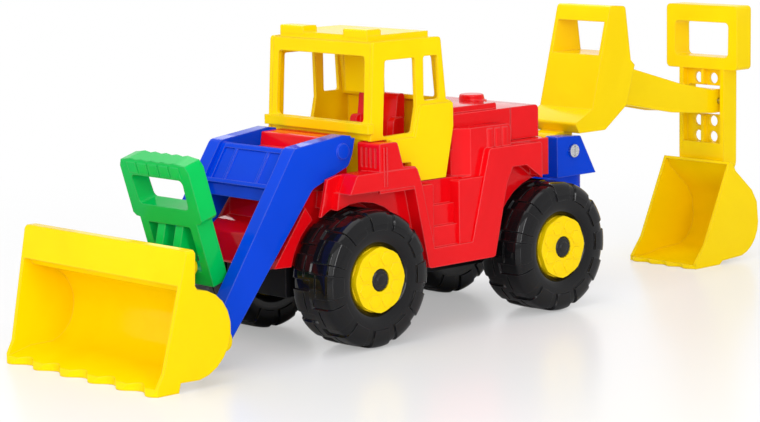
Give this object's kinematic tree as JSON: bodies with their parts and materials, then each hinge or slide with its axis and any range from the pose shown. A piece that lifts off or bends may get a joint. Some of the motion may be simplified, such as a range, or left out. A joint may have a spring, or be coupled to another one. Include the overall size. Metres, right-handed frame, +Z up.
{
  "type": "toy backhoe loader",
  "caption": "Moulded plastic toy backhoe loader with a lifting front bucket, a windowed cab, free-rolling wheels and a jointed digging arm that swings at the back.",
  "frame": {"origin": "on the ground under the middle of the toy's box", "axes": "+X towards the loader bucket, +Y to the vehicle's left, +Z up"},
  "size_m": [0.7353, 0.1906, 0.2378],
  "materials": {
    "red_plastic": "glossy moulded red",
    "yellow_plastic": "glossy moulded yellow",
    "blue_plastic": "glossy moulded blue",
    "green_plastic": "glossy moulded green",
    "black_plastic": "moulded black",
    "black_tyre": "blow-moulded glossy black",
    "steel": "bright drawn wire"
  },
  "bodies": {
    "vehicle": {"body_shell": "red_plastic", "rear_hood": "red_plastic", "filter_cap": "red_plastic", "front_hood": "red_plastic", "seat": "red_plastic", "cab": "yellow_plastic", "chassis": "black_plastic", "front_axle": "steel", "rear_axle": "steel", "arm_pivot_pin": "steel", "swing_bracket": "blue_plastic", "swing_pin": "steel", "axle_cap_front_left": "black_plastic", "axle_cap_front_right": "black_plastic", "axle_cap_rear_left": "black_plastic", "axle_cap_rear_right": "black_plastic"},
    "loader": {"loader_arms": "blue_plastic", "bucket_pin_left": "steel", "bucket_pin_right": "steel"},
    "loader_scoop": {"loader_bucket": "yellow_plastic", "tilt_handle": "green_plastic", "hook_pin": "steel"},
    "swing": {"swing_block": "blue_plastic", "boom_screw": "steel", "boom_nut": "steel"},
    "boom_arm": {"boom": "yellow_plastic", "dipper_pin": "steel"},
    "dipper_arm": {"dipper": "yellow_plastic", "dig_bucket_pin": "steel"},
    "dig_scoop": {"dig_bucket": "yellow_plastic"},
    "wheel_front_left": {"tyre_front_left": "black_tyre", "hub_front_left": "yellow_plastic"},
    "wheel_front_right": {"tyre_front_right": "black_tyre", "hub_front_right": "yellow_plastic"},
    "wheel_rear_left": {"tyre_rear_left": "black_tyre", "hub_rear_left": "yellow_plastic"},
    "wheel_rear_right": {"tyre_rear_right": "black_tyre", "hub_rear_right": "yellow_plastic"}
  },
  "joints": [
    {"name": "loader_lift", "type": "hinge", "parent": "vehicle", "child": "loader", "pos_m": [0.1485, 0, 0.148], "axis": [0, -1, 0], "range_deg": [0, 45]},
    {"name": "bucket_tilt", "type": "hinge", "parent": "loader", "child": "loader_scoop", "pos_m": [0.2735, 0, 0.02], "axis": [0, 1, 0], "range_deg": [-15, 45]},
    {"name": "swing_turn", "type": "hinge", "parent": "vehicle", "child": "swing", "pos_m": [-0.1475, 0, 0.0975], "axis": [0, 0, 1], "range_deg": [-45, 45]},
    {"name": "boom_lift", "type": "hinge", "parent": "swing", "child": "boom_arm", "pos_m": [-0.133, 0, 0.119], "axis": [0, 1, 0], "range_deg": [0, 40]},
    {"name": "dipper_swing", "type": "hinge", "parent": "boom_arm", "child": "dipper_arm", "pos_m": [-0.3385, 0, 0.143], "axis": [0, 1, 0], "range_deg": [-20, 20]},
    {"name": "dig_bucket_curl", "type": "hinge", "parent": "dipper_arm", "child": "dig_scoop", "pos_m": [-0.343, 0, 0.0885], "axis": [0, 1, 0], "range_deg": [-25, 25]},
    {"name": "wheel_front_left_spin", "type": "hinge", "parent": "vehicle", "child": "wheel_front_left", "pos_m": [0.143, 0.0605, 0.0525], "axis": [0, 1, 0], "continuous": true},
    {"name": "wheel_front_right_spin", "type": "hinge", "parent": "vehicle", "child": "wheel_front_right", "pos_m": [0.143, -0.0605, 0.0525], "axis": [0, 1, 0], "continuous": true},
    {"name": "wheel_rear_left_spin", "type": "hinge", "parent": "vehicle", "child": "wheel_rear_left", "pos_m": [-0.0595, 0.0605, 0.0525], "axis": [0, 1, 0], "continuous": true},
    {"name": "wheel_rear_right_spin", "type": "hinge", "parent": "vehicle", "child": "wheel_rear_right", "pos_m": [-0.0595, -0.0605, 0.0525], "axis": [0, 1, 0], "continuous": true}
  ]
}
